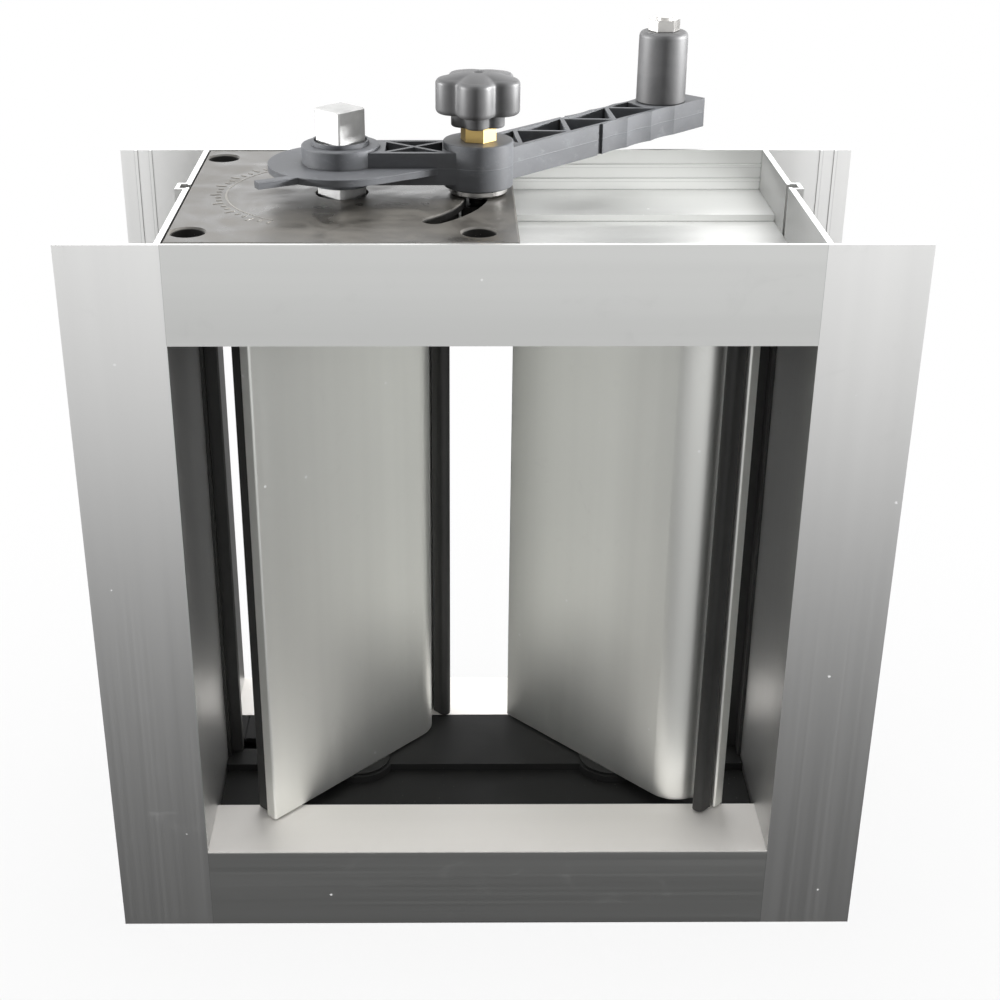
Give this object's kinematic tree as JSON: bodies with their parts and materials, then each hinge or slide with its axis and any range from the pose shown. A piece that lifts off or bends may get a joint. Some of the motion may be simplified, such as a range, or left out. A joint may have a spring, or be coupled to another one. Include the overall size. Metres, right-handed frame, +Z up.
{
  "type": "opposed blade damper",
  "caption": "Square aluminium duct damper with opposed hollow blades geared together, bulb seals, flanges for a duct frame, and a hand quadrant with a locking knob.",
  "frame": {"origin": "middle of the duct opening", "axes": "+Z up, from the gears to the hand quadrant; +Y along the air, away from the side the lever's grip starts from; +X across, from the driven blade to the other one"},
  "size_m": [0.271, 0.148, 0.3092],
  "materials": {
    "anodised_aluminium": "satin anodised, drawn lines along the extrusion",
    "blade_aluminium": "satin anodised, drawn lines along the extrusion",
    "black_plastic": "moulded, faint sheen",
    "base_plastic": "smooth moulded, glossy",
    "lever_plastic": "glass filled, fine grain",
    "knob_plastic": "moulded, fine grain",
    "seal_rubber": "matt",
    "zinc_steel": "zinc plated",
    "bright_steel": "bright drawn",
    "brass": "turned"
  },
  "bodies": {
    "frame": {"frame_left": "anodised_aluminium", "frame_right": "anodised_aluminium", "frame_top": "anodised_aluminium", "frame_bottom": "anodised_aluminium", "corner_screws": "zinc_steel", "side_seal_left": "seal_rubber", "side_seal_right": "seal_rubber", "bearing_cover": "black_plastic", "gear_cover": "black_plastic", "lower_bushes": "black_plastic", "idler_pins": "zinc_steel", "quadrant_base": "base_plastic", "base_screws": "zinc_steel"},
    "blade_1": {"blade_1": "blade_aluminium", "blade_seals_1": "seal_rubber", "drive_shaft": "bright_steel", "top_hub_1": "black_plastic", "bottom_hub_1": "black_plastic", "blade_gear_1": "black_plastic", "lever": "lever_plastic", "clamp_bolt": "zinc_steel", "clamp_washer": "zinc_steel", "grip_screw": "zinc_steel", "grip_nut": "zinc_steel"},
    "blade_2": {"blade_2": "blade_aluminium", "blade_seals_2": "seal_rubber", "top_hub_2": "black_plastic", "bottom_hub_2": "black_plastic", "blade_gear_2": "black_plastic"},
    "idler_1": {"idler_gear_1": "black_plastic"},
    "idler_2": {"idler_gear_2": "black_plastic"},
    "knob": {"clamp_knob": "knob_plastic", "knob_insert": "brass"},
    "grip": {"grip_sleeve": "lever_plastic"}
  },
  "joints": [
    {"name": "blade_1_turn", "type": "hinge", "parent": "frame", "child": "blade_1", "pos_m": [-0.05, 0, 0], "axis": [0, 0, 1], "range_deg": [-46, 44]},
    {"name": "blade_2_turn", "type": "hinge", "parent": "frame", "child": "blade_2", "pos_m": [0.05, 0, 0], "axis": [0, 0, 1], "range_deg": [-44, 46]},
    {"name": "idler_1_turn", "type": "hinge", "parent": "frame", "child": "idler_1", "pos_m": [-0.013, 0, 0], "axis": [0, 0, 1], "range_deg": [-81.5, 85.2]},
    {"name": "idler_2_turn", "type": "hinge", "parent": "frame", "child": "idler_2", "pos_m": [0.013, 0, 0], "axis": [0, 0, 1], "range_deg": [-85.2, 81.5]},
    {"name": "knob_turn", "type": "hinge", "parent": "blade_1", "child": "knob", "pos_m": [-0.004, 0, 0.1495], "axis": [0, 0, 1], "continuous": true},
    {"name": "grip_turn", "type": "hinge", "parent": "blade_1", "child": "grip", "pos_m": [0.06506, 0.07052, 0.1473], "axis": [0, 0, 1], "continuous": true}
  ],
  "couplings": [
    {"joint": "blade_2_turn", "follows": "blade_1_turn", "ratio": -1},
    {"joint": "idler_1_turn", "follows": "blade_1_turn", "ratio": -1.8462},
    {"joint": "idler_2_turn", "follows": "blade_1_turn", "ratio": 1.8462}
  ]
}
